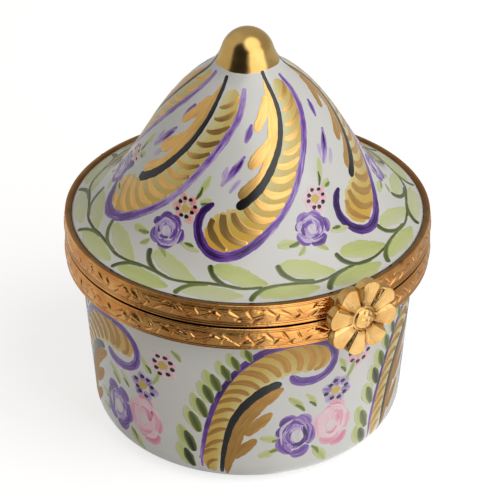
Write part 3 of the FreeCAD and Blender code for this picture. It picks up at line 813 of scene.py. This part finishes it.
LID_LEAF = [
    [(26, 30.6, .1, .6), (26, 29, .42, .6), (25.2, 27.4, .65, .6), (23.2, 25.4, .85, .6),
     (20.4, 23.6, .8, .6), (17.4, 21.8, .75, .6), (14, 20, .66, .6), (9.8, 18.1, .6, .6),
     (5, 16.4, .5, .6), (-1.5, 14.7, .35, .6)],
    [(21, 28.2, .4, .55), (18, 26.8, .62, .5), (13.5, 25.4, .7, .5), (9.4, 24.3, .64, .5),
     (6.6, 23.3, .48, .5)],
    [(16, 22.4, .36, .55), (12.5, 21.4, .58, .5), (8.5, 20.4, .8, .5), (4.2, 19.4, .84, .5),
     (1, 18.5, .6, .5)],
    [(9, 18.2, .3, .55), (6, 17.2, .5, .5), (2, 16.2, .76, .5), (-1.8, 15.3, .8, .5),
     (-4.4, 14.5, .56, .5)],
]
CUP_WASH = [
    (-12.6, 23.5, .3, .65), (-13.6, 21.5, 1.15, .65), (-13.1, 20, 1.31, .65), (-11.6, 17, 1.37, .62),
    (-9.6, 14, 1.43, .6), (-6.8, 11, 1.51, .58), (-2.2, 8.1, 1.9, .55), (4, 5.7, 2.33, .55),
    (11, 4, 2.5, .58), (18.5, 3.7, 2.5, .65), (24.6, 4.6, 2.05, .7), (27.2, 6, 1, .7),
]
CUP_OUTLINE = [
    (-17, 22.8, .16, .6), (-16.8, 20, .3, .7), (-15.6, 17, .36, .85), (-13.8, 14, .4, .9),
    (-11.4, 11, .42, .95), (-8.6, 8.4, .45, .95), (-5, 6, .5, .95), (-.5, 3.9, .55, .95),
    (5, 2.2, .6, .9), (12, 1.3, .6, .85), (20, 1.1, .6, .85), (27, 2, .6, .85), (30.5, 4, .6, .85),
    (30.3, 6, .62, .8), (27, 7.5, .66, .8), (22, 8, .72, .78), (17, 7.6, .78, .8), (14.5, 6.5, .45, .8),
]
CUP_VEIN = [
    (-9.7, 23.5, .26, .9), (-9.1, 20.5, .35, .9), (-7.6, 17, .45, .9), (-5.4, 14, .54, .95),
    (-2.3, 11.7, .62, 1), (2, 9.7, .69, 1), (6.9, 8.2, .73, 1), (11.6, 7.4, .6, 1),
]
CUP_LEAF = [
    [(-8, 24, .1, .6), (-7.1, 21, .66, .6), (-5.4, 18, .95, .6), (-3.3, 15.5, 1.02, .6),
     (-.1, 13, 1.05, .6), (4, 10.9, 1, .6), (8.6, 9.4, .8, .6), (12.2, 8.3, .35, .6)],
    [(-1, 16.2, .55, .55), (3.4, 14.4, .9, .5), (6.4, 13.2, .72, .5), (8.4, 12.4, .36, .5)],
    [(-4.8, 20.3, .5, .55), (-1.2, 18.6, .8, .5), (1.5, 17.6, .68, .5), (3.2, 16.9, .32, .5)],
]


BARB_SAMPLES, BARB_STARTS = 17, (0.4, 3.0)
BARB_SWEEP, BARB_BULGE = (2.5, -0.5), (2.0, 2.8)
BARB_EDGE, BARB_CROSS = 0.98, 1.9
BARB_SWELLS = ((0.1, 0.86, 0.75), (0.08, 0.62, 0.8))
FULL_PLUME, BARB_THINS, BARB_LOAD = 1.9, 0.12, 0.6


def barbs(skin, spine, count, side, half):
    """Crescents across a plume, from its outline to its vein.

    A barb goes on along the spine by a sweep and a bulge while it crosses the plume. The bulge
    grows towards the curled end, so the last barbs are blunt hooks.
    """
    angle, way, width, _ = drawn(spine, 160).T
    radius, run, rise, gone = travel(skin, angle, way)
    start = np.linspace(BARB_STARTS[0], gone[-1] - BARB_STARTS[1], count)[:, None]
    late = start / gone[-1]
    t = np.linspace(0, 1, BARB_SAMPLES)
    sweep, bulge = (first + more * late for first, more in (BARB_SWEEP, BARB_BULGE))
    place = np.clip(start + sweep * t + bulge * t * (1 - t), 0, gone[-1])

    def there(values):
        return np.interp(place, gone, values)

    broad = there(width)
    offset = side * (BARB_EDGE - BARB_CROSS * t) * broad
    turn = np.degrees(there(rise) / there(radius))
    slim, hooked = (np.sin(np.pi * (low + span * t)) ** power for low, span, power in BARB_SWELLS)
    swell = slim * (1 - late) + late * hooked
    return np.stack([
        there(angle) - turn * offset,
        there(way) + there(run) * offset,
        half * swell * np.clip(broad / FULL_PLUME, 0.5, 1.2) * (1 - BARB_THINS * late),
        BARB_LOAD + 0 * place,
    ], -1)


def plume(skin, place, wash, outline, vein, leaf, count, side, half, gold):
    """One plume at a place: wash, barbs, outline, leaf and vein, in the order of painting."""
    paint(skin, place, "ochre", [drawn(wash, 120)], WASH_LIFT, 17, fade=0.15, skew=0.22 * side)
    paint(skin, place, gold, barbs(skin, wash, count, side, half), BARB_LIFT, 13)
    paint(skin, place, "violet", [drawn(outline, 110)], EDGE_LIFT, 9)
    paint(skin, place, gold, [drawn(lobe, 48) for lobe in leaf], GOLD_LIFT, 11)
    paint(skin, place, "black", [drawn(vein, 80)], TOP_LIFT, 9, fade=0.1)


for place in LID_PLACES:
    plume(lid_skin, place, LID_WASH, LID_OUTLINE, LID_VEIN, LID_LEAF, 13, 1, 0.56, "gold")
for place in CUP_PLACES:
    plume(cup_skin, place, CUP_WASH, CUP_OUTLINE, CUP_VEIN, CUP_LEAF, 15, -1, 0.54, "satin_gold")
print("plumes:", len(LID_PLACES), "on the lid and", len(CUP_PLACES), "on the cup")

# %% [markdown]
# ## Roses, daisies and leaves
# Between the plumes stand small sprays: a violet rose, a pink rose, daisies with dotted hearts, and
# soft leaves with a darker stroke on each. A rose is a pale round of paint with a white eye and
# curved darker strokes about it, written in shares of its size so that any rose can be smaller.

# %% Sprays
VIOLET_ROSE = [
    [(0, .7, .7, .42), (0, 0, .95, .45), (0, -.7, .7, .42)],
    [(-.75, .45, .2, .75), (-.45, .8, .3, .8), (.1, .85, .26, .7)],
    [(.15, .9, .18, .6), (.55, .75, .28, .66), (.85, .4, .18, .6)],
    [(.85, .35, .18, .7), (.95, -.15, .28, .75), (.8, -.6, .18, .7)],
    [(.75, -.6, .18, .8), (.3, -.92, .3, .85), (-.3, -.9, .22, .8)],
    [(-.3, -.9, .18, .7), (-.75, -.6, .28, .75), (-.92, -.1, .2, .7)],
    [(-.95, 0, .15, .85), (-.85, .3, .22, .9), (-.6, .5, .12, .8)],
    [(-.5, -.35, .1, .9), (-.5, .1, .2, .95), (-.2, .4, .12, .85)],
    [(.45, .25, .1, .7), (.55, -.15, .18, .8), (.35, -.5, .1, .7)],
    [(-.25, -.6, .08, .8), (.1, -.55, .14, .85), (.35, -.5, .08, .8)],
    [(-.06, .26, .18, .06), (.02, -.08, .33, .03), (.08, -.4, .2, .06)],
]
PINK_ROSE = [
    [(0, .75, .72, .42), (0, 0, .88, .42), (0, -.75, .72, .42)],
    [(-.25, .95, .12, .6), (.2, .95, .24, .66), (.62, .62, .14, .6)],
    [(-.7, .6, .12, .5), (-.92, .05, .2, .6), (-.72, -.5, .12, .5)],
    [(.92, .2, .12, .6), (.95, -.2, .16, .62), (.85, -.5, .1, .6)],
    [(.88, -.6, .14, .75), (.5, -.92, .24, .8), (-.1, -.95, .14, .7)],
    [(-.62, -.55, .1, .6), (-.1, -.78, .2, .66), (.5, -.52, .1, .6)],
    [(.78, .42, .08, .75), (.48, .32, .18, .85), (.36, -.1, .1, .75)],
    [(-.4, .38, .06, .6), (-.05, .6, .12, .66), (.28, .45, .06, .6)],
    [(0, .12, .18, .1), (-.03, -.12, .26, .08), (0, -.36, .18, .1)],
]
DAISY_PETAL = [(.3, .2, .5), (.72, .36, .5), (1, .24, .35)]


def scribble(paths, count, far, loads):
    """A rose with loose arcs scribbled round its eye, laid over its base and under its last stroke."""
    ranges = [(0.35, far), (0, 2 * np.pi), (0.5, 1.1), (0.06, 0.15), loads]
    arcs = []
    for ring, turn, sweep, half, load in zip(*[hand.uniform(*ends, count) for ends in ranges]):
        arcs.append([(ring * np.sin(turn + a * sweep), ring * np.cos(turn + a * sweep),
                      half * (1.3 - a * a), load) for a in (-1, 0, 1)])
    return paths[:-1] + arcs + paths[-1:]


def lay(skin, place, centre, size, pot, paths, lift, across=7, fade=0.35, count=14):
    """Paints paths in shares of a size, wide and tall with y upwards, about a centre at a place."""
    wide, tall = size
    strokes = []
    for rows in paths:
        x, y, half, load = np.array(rows, float).T
        strokes.append(drawn(np.stack([
            centre[0] + np.degrees(wide * x / skin.radius(centre[1])),
            centre[1] + skin.up * tall * y, half * (wide + tall) / 2, load], 1), count))
    paint(skin, place, pot, strokes, lift, across, fade)


def round_spots(ring, turns, size, load):
    """Round spots on a ring, in shares."""
    return [[(ring * np.sin(a) - size, ring * np.cos(a), size, load),
             (ring * np.sin(a) + size, ring * np.cos(a), size, load)] for a in turns]


def daisy(skin, place, centre, size, pot):
    """Six petals, a round heart and a ring of dots, all turned by one spin."""
    spin = hand.uniform(0, 1)
    where = skin, place, centre, (size, size)
    petals = [[(far * np.sin(a), far * np.cos(a), half, load) for far, half, load in DAISY_PETAL]
              for a in (np.arange(6) + spin) * np.pi / 3]
    dots = round_spots(.62, (np.arange(8) + spin) * np.pi / 4, .16, 1)
    lay(*where, pot, petals, LINE_LIFT, fade=0.6)
    lay(*where, "ochre", round_spots(0, [0], .32, .75), GOLD_LIFT)
    lay(*where, "black", dots, TOP_LIFT, 5, count=9)


def dabs(skin, place, table, pot, bow, first, last, thinned, fade):
    """Soft strokes from one point to another, each with its half width and its load."""
    strokes = [drawn([(a0, w0, first * half, load), ((a0 + a1) / 2 + bow, (w0 + w1) / 2, half, load),
                      (a1, w1, last * half, thinned * load)], 12)
               for a0, w0, a1, w1, half, load in table]
    paint(skin, place, pot, strokes, LINE_LIFT, 7, fade)


LEAF_BRUSH, DASH_BRUSH = ("green", .6, .5, .4, 1, .65), ("violet", 0, .4, .5, .6, .5)
LID_LEAVES = [
    (41, 15.2, 46, 18, .5, .36), (40, 14.3, 42.4, 16.2, .32, .9), (42.4, 14.2, 48.5, 14.9, .6, .36),
    (43.5, 14, 47.5, 14.3, .34, .8), (13, 8, 21, 8.2, .6, .33), (17, 7.7, 22.8, 8.1, .42, .8),
    (24, 7.3, 20.5, 6.2, .42, .55), (28.5, 7.3, 34, 6, .45, .5), (38, 8.3, 47.5, 7.7, .5, .33),
    (39.5, 8.4, 44, 8.2, .32, .85),
]
LID_DASHES = [
    (66.5, 25.4, 61.5, 22.8, .5, .75), (62, 21.2, 48.5, 16.9, .64, .58), (60, 20.6, 54, 18.4, .3, 1),
    (51, 19.6, 49, 17.6, .42, .36), (59.5, 18, 53.5, 16.1, .42, .34),
]
CUP_LEAVES = [
    (14.2, 10.2, 20, 12.8, .62, .36), (16.5, 11.5, 20.2, 13, .42, .8), (21, 10.3, 25, 12.6, .46, .36),
    (22, 11.5, 24.8, 12.7, .32, .85), (4.4, 16.9, 11.6, 17.5, .75, .33), (7.8, 17.7, 12, 17.3, .46, .75),
    (4, 20, 11, 18.8, .68, .36), (8, 19.4, 11.6, 18.8, .42, .85), (24.5, 20, 30, 23, .85, .42),
    (24, 19.6, 27, 21.3, .42, .8), (33.4, 5.6, 36, 8.2, .5, .4), (33.8, 6.9, 36, 8.2, .34, .85),
    (40, 6.9, 36.6, 9.6, .42, .55), (45.6, 2.8, 49, 4.4, .5, .6),
]
LID_SPRAYS = [
    (-67, -0.9, "coral"), (0, 0, "pink"), (66, -0.3, "coral"), (123, 0.2, "pink"), (181, -0.2, "coral"),
    (238, 0.3, "pink"),
]

for place, spray in zip(LID_PLACES, LID_SPRAYS):
    dabs(lid_skin, place, LID_DASHES, *DASH_BRUSH)
    dabs(lid_skin, spray, LID_LEAVES, *LEAF_BRUSH)
    rose = scribble(VIOLET_ROSE, 14, 1.0, (0.2, 0.9))
    lay(lid_skin, spray, (29.8, 9.4), (2.3, 2.1), "violet", rose, GOLD_LIFT)
    daisy(lid_skin, spray, (36, 13), 2.0, spray[2])
for place in CUP_PLACES:
    spray = (place[0], place[1] / 3)
    dabs(cup_skin, spray, CUP_LEAVES, *LEAF_BRUSH)
    rose = scribble(VIOLET_ROSE, 16, 1.0, (0.2, 1))
    lay(cup_skin, spray, (17.4, 17), (2.5, 3.5), "violet", rose, GOLD_LIFT)
    rose = scribble(PINK_ROSE, 10, 0.9, (0.3, 0.7))
    lay(cup_skin, spray, (31.6, 16.5), (2.8, 3.8), "pink", rose, LINE_LIFT)
    daisy(cup_skin, spray, (33, 10.8), 2.5, "violet")
    daisy(cup_skin, spray, (42, 5.8), 2.5, "pink")
print("sprays:", len(LID_SPRAYS) + len(CUP_PLACES))

# %% [markdown]
# ## Garland and fern
# A leafy garland runs round the brim: a dark wavering stem, with a light leaf above and below it in
# turn, each held by a curved stalk. On the cup, a row of narrow leaves climbs beside each plume, each
# of them light with a dark stroke on it.

# %% Garland and fern
GARLAND_REPEATS, GARLAND_START = 14, 10
LIGHT_LEAF, DARK_STEM = (LINE_LIFT, 11, 0.12, 0.05), (TOP_LIFT, 11, 0.3, 0.05)
GARLAND = [
    ([(2.5, 5, .5, .32), (7, 4.75, 1.05, .3), (12, 4.2, 1.25, .3), (18, 3.4, .95, .32),
      (23, 2.85, .2, .36)], LIGHT_LEAF),
    ([(-6.5, 1.2, .4, .32), (-1.5, 1.35, .9, .3), (4, 1.35, 1.1, .3), (10, 1.25, .85, .32),
      (14.5, 1.2, .2, .36)], LIGHT_LEAF),
    ([(-6, 2.3, .2, .85), (0, 2.65, .22, .85), (7, 2.6, .22, .85), (14, 2.25, .22, .85),
      (21, 2.4, .2, .85)], DARK_STEM),
    ([(.5, 5.4, .42, .95), (2, 4.2, .4, .92), (6, 3, .3, .88), (13, 2.4, .2, .85)], DARK_STEM),
    ([(-8.5, .35, .42, .95), (-7, 1.3, .4, .92), (-4, 2.1, .3, .88), (2, 2.6, .2, .85)], DARK_STEM),
]
FERN = [
    (-21.3, 22.6, 1), (-20.6, 19.6, 1.05), (-18.4, 16, 1.05), (-15.8, 13.2, 1), (-13.3, 10.7, .95),
    (-10.5, 8.5, .9), (-7, 6.5, .82), (-3, 4.7, .74), (.8, 3.3, .64),
]
FERN_LIGHT = [(.3, .3, .55, .4), (-2.4, -1.9, 1.1, .4), (-3.9, -3.6, .55, .36)]
FERN_DARK = [(.9, .5, .42, .92), (-.7, -1.3, .8, .92), (-2.2, -2.8, .36, .86)]

for index in range(GARLAND_REPEATS):
    place = (GARLAND_START + 360 / GARLAND_REPEATS * index, 0)
    for rows, brush in GARLAND:
        paint(lid_skin, place, "green", [drawn(rows, 40)], *brush)
for place in CUP_PLACES:
    for shape, lift, fade in ((FERN_LIGHT, LINE_LIFT, 0.6), (FERN_DARK, TOP_LIFT, 0.4)):
        fern = [drawn(np.array(shape) * [size, size, size, 1] + [a, w, 0, 0], 14) for a, w, size in FERN]
        paint(cup_skin, (place[0], 0), "green", fern, lift, 7, fade)
print("garland leaves:", 2 * GARLAND_REPEATS, "fern leaves:", len(CUP_PLACES) * len(FERN))

# %% [markdown]
# ## Enamels
# Each colour is one enamel at many strengths: a ramp from bare glaze through its pale and middle
# tones to its deep tone, read by the load that each stroke carries. Streaks along the stroke, as
# the hairs of a brush leave them, come from noise stretched on the stroke's own coordinates.

# %% Enamels
ENAMELS = {
    "ochre": (tint(224, 212, 150), tint(212, 182, 92), tint(230, 170, 54), 0.25),
    "violet": (tint(200, 178, 224), tint(120, 75, 170), tint(48, 22, 82), 0.95),
    "pink": (tint(246, 214, 222), tint(234, 156, 182), tint(196, 70, 110), 0.3),
    "coral": (tint(244, 190, 184), tint(226, 112, 100), tint(190, 60, 56), 0.3),
    "green": (tint(200, 208, 134), tint(124, 138, 68), tint(40, 46, 20), 0.14),
    "black": (tint(110, 108, 104), tint(48, 47, 44), tint(18, 17, 15), 0.15),
}
LEAF_GOLD = tint(230, 186, 116), tint(212, 164, 92), 0.86, 0.25
SATIN_GOLD = tint(194, 148, 80), tint(174, 128, 62), 0.45, 0.4


def enamel(wire, pale, middle, deep, streaky):
    """Enamel: a ramp of tones read by the stroke's load, broken up by streaks."""
    streak = streaks(wire, 0.45, 4.2)
    strength = wire.mark("load") + streaky * (streak - 0.5)
    return {
        "Base Color": strength.ramp((0.0, GLAZE_WARM), (0.34, pale), (0.68, middle), (1.0, deep)),
        "Roughness": 0.14 + 0.12 * streak,
        "Normal": wire.bump(streak, 0.15, 0.00002),
    }


def leaf_gold(wire, bright, deep, metal, rough):
    """Gold paint: its tone and polish wander along the stroke, and satin gold is half paint."""
    streak = streaks(wire, 0.35, 3.2)
    return {
        "Base Color": streak.eased(0.3, 0.7).mix(deep, bright),
        "Roughness": rough + 0.1 * streak,
        "Metallic": metal,
        "Normal": wire.bump(streak, 0.06, 0.00002),
    }


colours = {name: finish("enamel_" + name, enamel, *tones) for name, tones in ENAMELS.items()}
colours["gold"] = finish("burnished_gold", leaf_gold, *LEAF_GOLD)
colours["satin_gold"] = finish("satin_gold", leaf_gold, *SATIN_GOLD)
for (skin, pot), layers in pots.items():
    points, loads, grains = zip(*layers)
    piece(("lid_" if skin is lid_skin else "cup_") + pot, skin.body, colours[pot],
          points, False, {"load": loads, "grain": grains})

# %% [markdown]
# ## Table and light
# The box stands on a plain pale table in soft studio light, stronger from the right. The white
# around it is the table and the world as the camera sees them, not extra light. Polished metal is
# only as good as what it mirrors, so reflected rays see a room of soft light, with a dark corner and
# a white sheet.

# %% Table and light
HALF_FLOOR, AMBIENT = 2.0, 0.3
TABLE_LIT, TABLE_SEEN, TABLE_GLOW = tint(238, 238, 237), tint(196, 196, 195), 0.7
MIRROR_TABLE, MIRROR_SHARE = 0.36, 0.5
ROOM_LIGHT, GLOW_LIGHT, CORNER_LIGHT, SHEET_LIGHT = 0.48, 0.2, 0.07, 1.5
GLOW, CORNER = (-98, 24, 60, 24), ((-34, 2, 38, 28), (-34, 30, 38, 28))
SHEET = ((42, 12, 38, 26), (42, 58, 40, 24))
LAMP_ANGLE, LAMP_RISE, LAMP_DISTANCE, LAMP_POWER = VIEW_ANGLE + 54, 42, 900, 5.8
LAMP_WIDE, LAMP_TALL = 850, 1150
LAMP_COLOUR, AMBIENT_COLOUR = (0.965, 0.975, 1.0), (1.0, 0.955, 0.87, 1)
WHITE = (1, 1, 1, 1)


def rays(wire):
    """1 for rays from the camera, and 1 for reflected and refracted ones, or else 0."""
    path = [wire.node("LightPath", out=name)
            for name in ("Is Camera Ray", "Is Glossy Ray", "Is Transmission Ray")]
    return path[0], path[1] + path[2]


def room(wire, sight):
    """What polished metal mirrors: soft light, a dark corner left in front and a tall sheet right.

    The corner and the sheet are two rounds each, and a faint glow lies at the far left.
    """
    def facing(angle, rise, wide, narrow):
        """1 towards an angle and a rise, 0 beyond a wide number of degrees from it, smooth between."""
        middle = direction(VIEW_ANGLE + angle, rise).tolist()
        near = wire.node("VectorMath", {0: sight, 1: middle}, 1, operation="DOT_PRODUCT")
        return near.eased(np.cos(np.radians(wide)), np.cos(np.radians(narrow)))

    def clear_of(rounds):
        """0 inside either of two rounds and 1 away from both."""
        first, second = rounds
        return (1 - facing(*first)) * (1 - facing(*second))

    soft = ROOM_LIGHT + GLOW_LIGHT * facing(*GLOW)
    shade = CORNER_LIGHT + (1 - CORNER_LIGHT) * clear_of(CORNER)
    return soft * shade + SHEET_LIGHT * (1 - clear_of(SHEET))


floor_mesh = bpy.data.meshes.new("table")
floor_mesh.from_pydata([(-HALF_FLOOR, -HALF_FLOOR, 0), (HALF_FLOOR, -HALF_FLOOR, 0),
                        (HALF_FLOOR, HALF_FLOOR, 0), (-HALF_FLOOR, HALF_FLOOR, 0)], [], [(0, 1, 2, 3)])
floor = added("table", floor_mesh)
floor_material = bpy.data.materials.new("table")
wire = bare_tree(floor_material)
camera_ray, mirrored = rays(wire)
outwards = wire.node("VectorMath", {0: wire.place()}, operation="NORMALIZE")
paper = wire.node("BsdfDiffuse", {"Color": camera_ray.mix(TABLE_LIT, TABLE_SEEN)})
glow = wire.node("Emission", {"Color": WHITE, "Strength": TABLE_GLOW * camera_ray})
table_top = wire.node("AddShader", {0: paper, 1: glow})
mirror_table = wire.node("Emission", {
    "Color": WHITE, "Strength": MIRROR_TABLE + MIRROR_SHARE * room(wire, outwards)})
both = wire.node("MixShader", {0: mirrored, 1: table_top, 2: mirror_table})
wire.node("OutputMaterial", {"Surface": both})
floor_mesh.materials.append(floor_material)

world = bpy.data.worlds.new("studio")
bpy.context.scene.world = world
wire = bare_tree(world)
camera_ray, mirrored = rays(wire)
around = wire.node("TexCoord", out="Generated")
others = 1 - camera_ray - mirrored
strength = camera_ray + mirrored * room(wire, around) + others * AMBIENT
sky = wire.node("Background", {
    "Color": others.mix(WHITE, AMBIENT_COLOUR), "Strength": strength})
wire.node("OutputWorld", {"Surface": sky})

lamp = added("right_light", bpy.data.lights.new("right_light", "AREA"))
lamp.data.shape = "RECTANGLE"
lamp.data.size, lamp.data.size_y = LAMP_WIDE * MM, LAMP_TALL * MM
lamp.data.energy = LAMP_POWER
lamp.data.color = LAMP_COLOUR
lamp.visible_glossy = False
look_at(lamp, AIM + LAMP_DISTANCE * direction(LAMP_ANGLE, LAMP_RISE), AIM)
bpy.context.scene.view_settings.view_transform = "Standard"
print("table and light ready")
